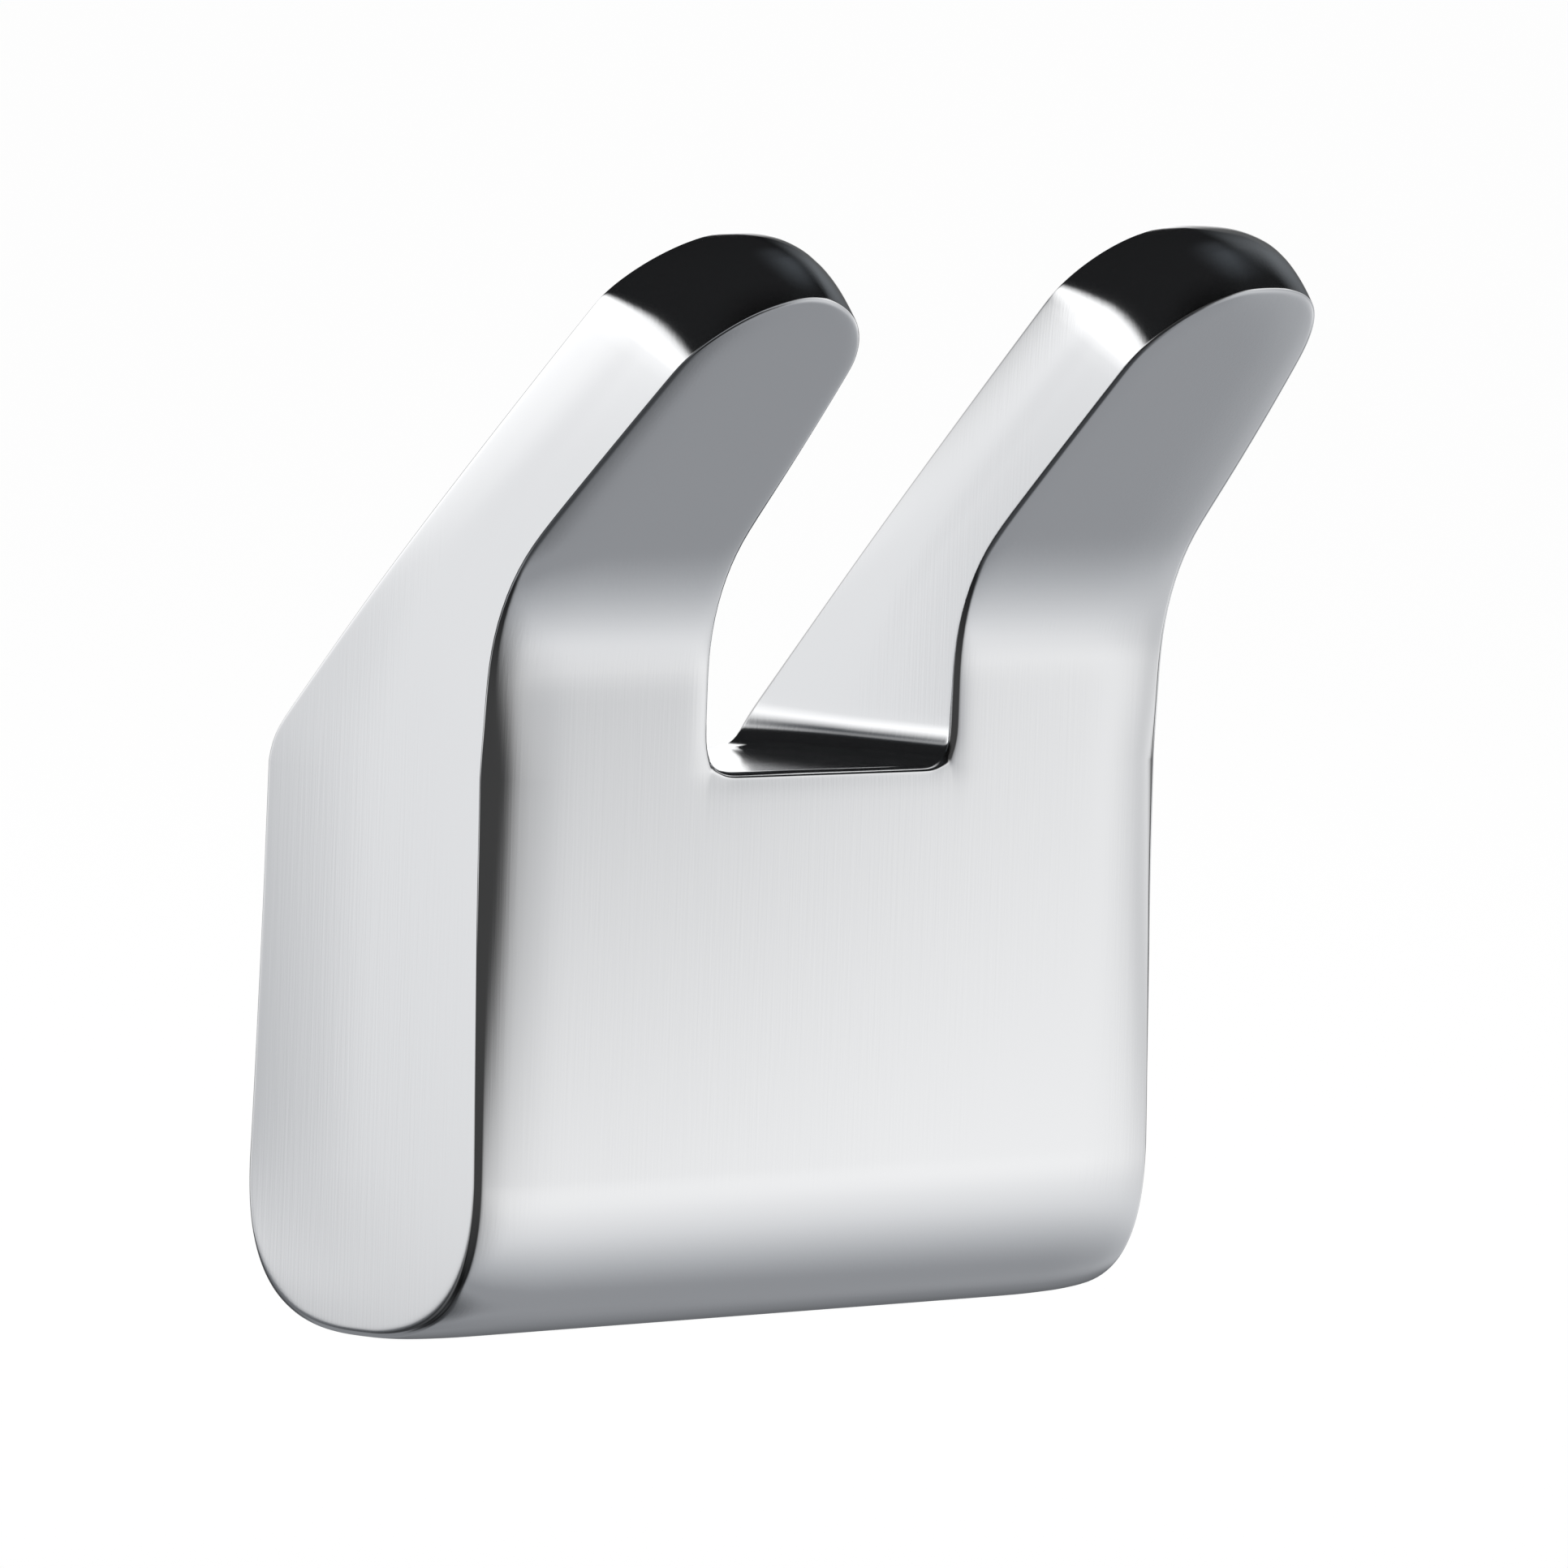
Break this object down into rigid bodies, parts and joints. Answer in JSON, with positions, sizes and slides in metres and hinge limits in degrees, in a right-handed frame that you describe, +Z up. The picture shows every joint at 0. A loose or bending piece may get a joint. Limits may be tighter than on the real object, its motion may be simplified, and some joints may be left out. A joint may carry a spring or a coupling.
{
  "type": "double robe hook",
  "caption": "Wall hook with two rounded fingers that lean up and forward from a solid block, on a hidden wall bracket",
  "frame": {"origin": "on the wall, midway between the two wall screws of the hidden bracket, in the object's middle plane", "axes": "+X to the right seen from the front, -Y out of the wall toward the viewer, +Z up"},
  "size_m": [0.06, 0.0372, 0.0693],
  "materials": {
    "chrome": "polished chrome plate with a faint upright grain",
    "bracket_steel": "plain zinc-plated steel",
    "screw_steel": "plain steel"
  },
  "bodies": {
    "root": {"hook_body": "chrome", "wall_bracket": "bracket_steel", "set_screw": "screw_steel"}
  },
  "joints": []
}
